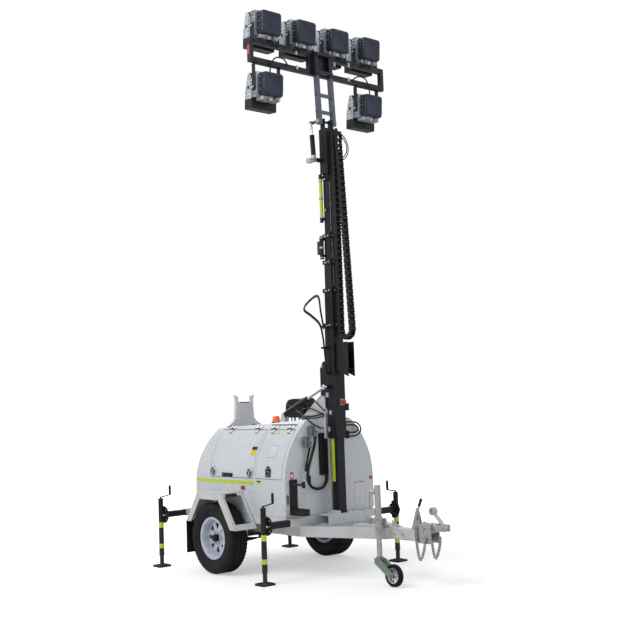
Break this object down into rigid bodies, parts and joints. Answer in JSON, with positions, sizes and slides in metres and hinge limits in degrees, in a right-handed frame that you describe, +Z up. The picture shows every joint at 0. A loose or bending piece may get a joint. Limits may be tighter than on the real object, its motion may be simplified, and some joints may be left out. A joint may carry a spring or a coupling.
{
  "type": "mobile light tower",
  "caption": "Towed light tower: white generator canopy on a single-axle trailer with swing-down legs, and a tilting telescopic mast that carries floodlights on a tilting head.",
  "frame": {"origin": "on the ground, below the middle of the bounding box", "axes": "+X towards the drawbar, +Y to the trailer's left, +Z up along the raised mast"},
  "size_m": [3.334, 1.855, 5.4254],
  "materials": {
    "canopy_white": "gloss powder coat",
    "galvanised": "hot-dip galvanised, satin",
    "flap_rubber": "matt black rubber",
    "engine_grey": "cast and painted",
    "signal_red": "moulded lens",
    "black_paint": "satin black paint",
    "black_plastic": "moulded matt",
    "zinc_chain": "zinc plated",
    "mast_black": "satin black paint",
    "chromed_rod": "hard chrome",
    "head_paint": "satin blue-grey paint",
    "lamp_cover": "moulded satin",
    "lamp_silver": "die cast, silver paint",
    "lamp_black": "satin black paint",
    "cast_aluminium": "cast",
    "fork_paint": "satin grey-green",
    "jockey_rubber": "matt solid rubber",
    "rim_silver": "silver paint",
    "tyre": "matt black rubber"
  },
  "bodies": {
    "chassis": {"chassis_frame": "galvanised", "drawbar": "galvanised", "drawbar_fittings": "galvanised", "mast_support": "galvanised", "canopy_front": "canopy_white", "canopy_rear": "canopy_white", "canopy_roof": "canopy_white", "canopy_sides": "canopy_white", "axle_and_springs": "galvanised", "mudguards": "galvanised", "mudflaps": "flap_rubber", "engine_block": "engine_grey", "rest_bracket": "galvanised", "signal_lamps": "signal_red", "extinguisher_bracket": "black_paint", "power_sockets": "black_plastic", "safety_chains": "zinc_chain", "roof_hoods": "black_paint", "short_hoses": "black_plastic"},
    "wheel_right": {"rim_right": "rim_silver", "tyre_right": "tyre"},
    "wheel_left": {"rim_left": "rim_silver", "tyre_left": "tyre"},
    "service_door_right": {"service_door_right": "canopy_white"},
    "panel_door_right": {"panel_door_right": "canopy_white"},
    "service_door_left": {"service_door_left": "canopy_white"},
    "panel_door_left": {"panel_door_left": "canopy_white"},
    "arm_rear_right": {"arm_rear_right": "galvanised"},
    "leg_rear_right": {"leg_rear_right": "galvanised"},
    "foot_rear_right": {"foot_rear_right": "galvanised"},
    "arm_rear_left": {"arm_rear_left": "galvanised"},
    "leg_rear_left": {"leg_rear_left": "galvanised"},
    "foot_rear_left": {"foot_rear_left": "galvanised"},
    "arm_front_right": {"arm_front_right": "galvanised"},
    "leg_front_right": {"leg_front_right": "galvanised"},
    "foot_front_right": {"foot_front_right": "galvanised"},
    "arm_front_left": {"arm_front_left": "galvanised"},
    "leg_front_left": {"leg_front_left": "galvanised"},
    "foot_front_left": {"foot_front_left": "galvanised"},
    "jockey_tube": {"jockey_tube": "galvanised"},
    "jockey_stem": {"jockey_stem": "galvanised"},
    "jockey_fork": {"jockey_fork": "fork_paint"},
    "jockey_wheel": {"jockey_wheel": "jockey_rubber"},
    "coupling_swivel": {"coupling_swivel": "galvanised"},
    "coupling_eye": {"coupling_eye": "galvanised"},
    "brake_lever": {"brake_lever": "black_plastic"},
    "mast_base": {"mast_base": "mast_black"},
    "mast_2": {"mast_2": "mast_black"},
    "mast_3": {"mast_3": "mast_black", "energy_chain": "black_plastic"},
    "mast_4": {"mast_4": "mast_black"},
    "mast_5": {"mast_5": "mast_black"},
    "tilt_barrel": {"tilt_barrel": "black_paint"},
    "tilt_rod": {"tilt_rod": "chromed_rod"},
    "head": {"head_frame": "head_paint", "lamp_covers": "lamp_cover", "lamp_housings": "lamp_silver", "lamp_hoods": "lamp_black"},
    "head_actuator_body": {"head_actuator_body": "cast_aluminium"},
    "head_actuator_rod": {"head_actuator_rod": "chromed_rod"}
  },
  "joints": [
    {"name": "wheel_right_spin", "type": "hinge", "parent": "chassis", "child": "wheel_right", "pos_m": [-0.733, -0.72, 0.35], "axis": [0, 1, 0], "continuous": true},
    {"name": "wheel_left_spin", "type": "hinge", "parent": "chassis", "child": "wheel_left", "pos_m": [-0.733, 0.72, 0.35], "axis": [0, 1, 0], "continuous": true},
    {"name": "service_door_right_lift", "type": "hinge", "parent": "chassis", "child": "service_door_right", "pos_m": [-0.733, -0.3779, 1.406], "axis": [-1, 0, 0], "range_deg": [0, 85]},
    {"name": "panel_door_right_lift", "type": "hinge", "parent": "chassis", "child": "panel_door_right", "pos_m": [-0.733, -0.3779, 1.406], "axis": [-1, 0, 0], "range_deg": [0, 85]},
    {"name": "service_door_left_lift", "type": "hinge", "parent": "chassis", "child": "service_door_left", "pos_m": [-0.733, 0.3779, 1.406], "axis": [1, 0, 0], "range_deg": [0, 85]},
    {"name": "panel_door_left_lift", "type": "hinge", "parent": "chassis", "child": "panel_door_left", "pos_m": [-0.733, 0.3779, 1.406], "axis": [1, 0, 0], "range_deg": [0, 85]},
    {"name": "arm_rear_right_slide", "type": "slide", "parent": "chassis", "child": "arm_rear_right", "axis": [0, -1, 0], "range_m": [-0.16, 0]},
    {"name": "leg_rear_right_swing", "type": "hinge", "parent": "arm_rear_right", "child": "leg_rear_right", "pos_m": [-1.583, -0.84, 0.5323], "axis": [0, 1, 0], "range_deg": [0, 90]},
    {"name": "foot_rear_right_jack", "type": "slide", "parent": "leg_rear_right", "child": "foot_rear_right", "axis": [0, 0, 1], "range_m": [-0.15, 0.085]},
    {"name": "arm_rear_left_slide", "type": "slide", "parent": "chassis", "child": "arm_rear_left", "axis": [0, 1, 0], "range_m": [-0.16, 0]},
    {"name": "leg_rear_left_swing", "type": "hinge", "parent": "arm_rear_left", "child": "leg_rear_left", "pos_m": [-1.583, 0.84, 0.5323], "axis": [0, 1, 0], "range_deg": [0, 90]},
    {"name": "foot_rear_left_jack", "type": "slide", "parent": "leg_rear_left", "child": "foot_rear_left", "axis": [0, 0, 1], "range_m": [-0.15, 0.085]},
    {"name": "arm_front_right_slide", "type": "slide", "parent": "chassis", "child": "arm_front_right", "axis": [0, -1, 0], "range_m": [-0.16, 0]},
    {"name": "leg_front_right_swing", "type": "hinge", "parent": "arm_front_right", "child": "leg_front_right", "pos_m": [0.172, -0.84, 0.5323], "axis": [0, -1, 0], "range_deg": [0, 90]},
    {"name": "foot_front_right_jack", "type": "slide", "parent": "leg_front_right", "child": "foot_front_right", "axis": [0, 0, 1], "range_m": [-0.15, 0.085]},
    {"name": "arm_front_left_slide", "type": "slide", "parent": "chassis", "child": "arm_front_left", "axis": [0, 1, 0], "range_m": [-0.16, 0]},
    {"name": "leg_front_left_swing", "type": "hinge", "parent": "arm_front_left", "child": "leg_front_left", "pos_m": [0.172, 0.84, 0.5323], "axis": [0, -1, 0], "range_deg": [0, 90]},
    {"name": "foot_front_left_jack", "type": "slide", "parent": "leg_front_left", "child": "foot_front_left", "axis": [0, 0, 1], "range_m": [-0.15, 0.085]},
    {"name": "jockey_swing", "type": "hinge", "parent": "chassis", "child": "jockey_tube", "pos_m": [0.992, -0.18, 0.56], "axis": [-0.4047, 0.9145, 0], "range_deg": [0, 90]},
    {"name": "jockey_wind", "type": "slide", "parent": "jockey_tube", "child": "jockey_stem", "axis": [0, 0, 1], "range_m": [-0.1, 0.1]},
    {"name": "jockey_caster", "type": "hinge", "parent": "jockey_stem", "child": "jockey_fork", "pos_m": [0.992, -0.18, 0.24], "axis": [0, 0, 1], "continuous": true},
    {"name": "jockey_roll", "type": "hinge", "parent": "jockey_fork", "child": "jockey_wheel", "pos_m": [1.167, -0.18, 0.1], "axis": [0, 1, 0], "continuous": true},
    {"name": "coupling_roll", "type": "hinge", "parent": "chassis", "child": "coupling_swivel", "pos_m": [1.567, 0, 0.53], "axis": [1, 0, 0], "range_deg": [-40, 40]},
    {"name": "coupling_pitch", "type": "hinge", "parent": "coupling_swivel", "child": "coupling_eye", "pos_m": [1.637, 0, 0.53], "axis": [0, 1, 0], "range_deg": [0, 135]},
    {"name": "brake_lever_pull", "type": "hinge", "parent": "chassis", "child": "brake_lever", "pos_m": [1.337, -0.03, 0.6], "axis": [0, -1, 0], "range_deg": [0, 40]},
    {"name": "mast_tilt", "type": "hinge", "parent": "chassis", "child": "mast_base", "pos_m": [0.167, 0, 1.66], "axis": [0, -1, 0], "range_deg": [0, 90]},
    {"name": "mast_raise_2", "type": "slide", "parent": "mast_base", "child": "mast_2", "axis": [0, 0, 1], "range_m": [0, 0.9]},
    {"name": "mast_raise_3", "type": "slide", "parent": "mast_2", "child": "mast_3", "axis": [0, 0, 1], "range_m": [0, 0.9]},
    {"name": "mast_raise_4", "type": "slide", "parent": "mast_3", "child": "mast_4", "axis": [0, 0, 1], "range_m": [0, 0.9]},
    {"name": "mast_raise_5", "type": "slide", "parent": "mast_4", "child": "mast_5", "axis": [0, 0, 1], "range_m": [0, 0.9]},
    {"name": "tilt_barrel_turn", "type": "hinge", "parent": "chassis", "child": "tilt_barrel", "pos_m": [-0.383, -0.125, 1.535], "axis": [0, -1, 0], "range_deg": [0, 4.52]},
    {"name": "tilt_rod_stroke", "type": "slide", "parent": "tilt_barrel", "child": "tilt_rod", "axis": [0.9229, 0, 0.3851], "range_m": [-0.2284, 0]},
    {"name": "head_tilt", "type": "hinge", "parent": "mast_5", "child": "head", "pos_m": [0.2745, 0, 4.42], "axis": [0, 1, 0], "range_deg": [-20, 45]},
    {"name": "head_actuator_turn", "type": "hinge", "parent": "mast_5", "child": "head_actuator_body", "pos_m": [0.2145, -0.128, 4.04], "axis": [0, 1, 0], "range_deg": [-2.33, 2.33]},
    {"name": "head_actuator_stroke", "type": "slide", "parent": "head_actuator_body", "child": "head_actuator_rod", "axis": [-0.0656, 0, 0.9978], "range_m": [-0.0283, 0.0623]}
  ],
  "couplings": [
    {"joint": "mast_raise_3", "follows": "mast_raise_2", "ratio": 1},
    {"joint": "mast_raise_4", "follows": "mast_raise_2", "ratio": 1},
    {"joint": "mast_raise_5", "follows": "mast_raise_2", "ratio": 1},
    {"joint": "tilt_barrel_turn", "follows": "mast_tilt", "ratio": 0.04966},
    {"joint": "tilt_rod_stroke", "follows": "mast_tilt", "m_per_rad": -0.14478},
    {"joint": "head_actuator_turn", "follows": "head_tilt", "ratio": 0.04966},
    {"joint": "head_actuator_stroke", "follows": "head_tilt", "m_per_rad": 0.07811}
  ]
}
